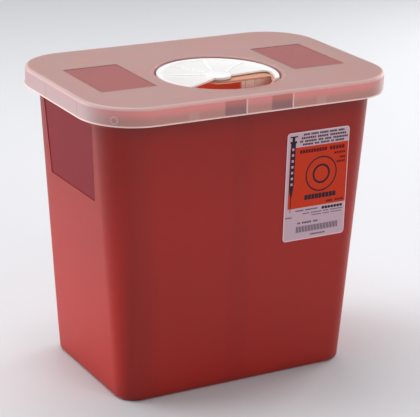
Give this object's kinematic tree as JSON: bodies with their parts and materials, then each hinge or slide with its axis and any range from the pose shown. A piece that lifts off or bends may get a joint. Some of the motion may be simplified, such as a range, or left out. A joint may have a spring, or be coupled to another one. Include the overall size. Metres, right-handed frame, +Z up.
{
  "type": "sharps container",
  "caption": "Tapered translucent red sharps bin with a frosted press-fit lid, a round white rotor that turns in the lid to open or close the drop opening, and a front label.",
  "frame": {"origin": "centre of the base, on the surface that the container stands on", "axes": "+Z up, X along the long side, -Y towards the front wall that carries the label"},
  "size_m": [0.2728, 0.1842, 0.2546],
  "materials": {
    "red_plastic": "translucent red polypropylene, satin",
    "label_paper": "printed adhesive film, satin",
    "frosted_plastic": "natural translucent polypropylene, fine texture",
    "white_plastic": "opaque white polypropylene, satin"
  },
  "bodies": {
    "container": {"container_body": "red_plastic", "front_label": "label_paper"},
    "lid": {"lid": "frosted_plastic"},
    "rotor": {"rotor": "white_plastic"}
  },
  "joints": [
    {"name": "lid_lift", "type": "slide", "parent": "container", "child": "lid", "axis": [0, 0, 1], "range_m": [0, 0.12]},
    {"name": "rotor_turn", "type": "hinge", "parent": "lid", "child": "rotor", "pos_m": [0, -0.0211, 0.2], "axis": [0, 0, 1], "range_deg": [-15, 160]}
  ]
}
